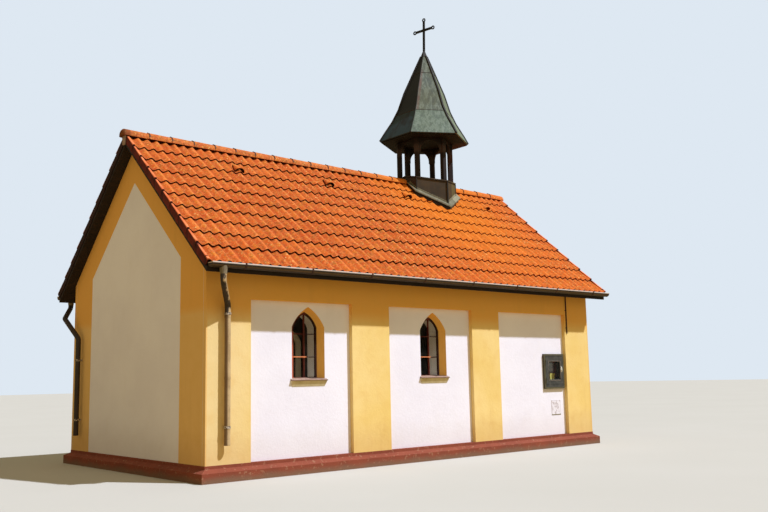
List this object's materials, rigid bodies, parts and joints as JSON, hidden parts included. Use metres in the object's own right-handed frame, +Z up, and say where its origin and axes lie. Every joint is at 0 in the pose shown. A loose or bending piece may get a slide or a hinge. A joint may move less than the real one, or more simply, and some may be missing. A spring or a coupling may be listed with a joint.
{
  "type": "small chapel",
  "caption": "Small plastered village chapel with a tiled gable roof, pointed windows and a hexagonal open turret with a sheet-metal spire and cross over the ridge.",
  "frame": {"origin": "on the ground below the middle of the walls", "axes": "+Z up, X along the ridge with the entrance gable at +X, the long side with the notice case faces -Y"},
  "size_m": [8.59, 5.276, 8.4609],
  "materials": {
    "plinth_render": "red-brown painted cement render",
    "floor_stone": "worn stone flags",
    "step_stone": "dressed stone",
    "wall_render": "lime-painted plaster",
    "window_steel": "dark red-brown paint, satin",
    "window_glass": "clear sheet glass",
    "sill_render": "lime-painted plaster",
    "red_sheet": "painted sheet",
    "door_wood": "brown stained boards",
    "roof_timber": "dark brown stain",
    "roof_tile": "orange-red matt roof tile",
    "verge_tile": "dark red matt roof tile",
    "brown_sheet": "brown coated sheet",
    "pipe_sheet": "weathered paint over sheet",
    "turret_sheet": "aged olive-brown sheet",
    "flashing_sheet": "pale weathered sheet",
    "turret_wood": "dark brown stain",
    "soffit_wood": "dark red-brown stain",
    "spire_sheet": "grey-green weathered sheet",
    "cross_iron": "black wrought iron",
    "case_paint": "dark grey paint, satin",
    "case_glass": "clear sheet glass",
    "knob_metal": "satin",
    "plate_enamel": "white enamel, bare"
  },
  "bodies": {
    "chapel": {"back_downpipe": "pipe_sheet", "back_gutter": "brown_sheet", "back_wall": "wall_render", "back_window_frames": "window_steel", "back_window_glass": "window_glass", "door_frame": "door_wood", "door_leaf": "door_wood", "doorstep": "step_stone", "fascias": "roof_timber", "floor": "floor_stone", "front_downpipe": "pipe_sheet", "front_gutter": "brown_sheet", "front_wall": "wall_render", "front_window_frames": "window_steel", "front_window_glass": "window_glass", "gutter_brackets": "brown_sheet", "gutter_outlets": "pipe_sheet", "left_gable_wall": "wall_render", "notice_case": "case_paint", "pipe_clips": "pipe_sheet", "plinth": "plinth_render", "ridge_tiles": "roof_tile", "right_gable_wall": "wall_render", "roof_cross": "cross_iron", "roof_deck_back": "roof_timber", "roof_deck_front": "roof_timber", "roof_tiles_back": "roof_tile", "roof_tiles_front": "roof_tile", "sill_blocks": "sill_render", "sill_flashings": "red_sheet", "spire": "spire_sheet", "spire_cap": "spire_sheet", "turret_arches": "turret_wood", "turret_deck": "turret_sheet", "turret_drum": "turret_sheet", "turret_flashing": "flashing_sheet", "turret_posts": "turret_wood", "turret_soffit": "soffit_wood", "verge_tiles_left": "verge_tile", "verge_tiles_right": "verge_tile", "wall_conduit": "brown_sheet", "wall_plate": "plate_enamel"},
    "case_door": {"case_door": "case_paint", "case_door_glass": "case_glass", "case_door_knob": "knob_metal"}
  },
  "joints": [
    {"name": "case_door_hinge", "type": "hinge", "parent": "chapel", "child": "case_door", "pos_m": [2.7695, -2.179, 1.34], "axis": [0, 0, -1], "range_deg": [0, 110]}
  ]
}
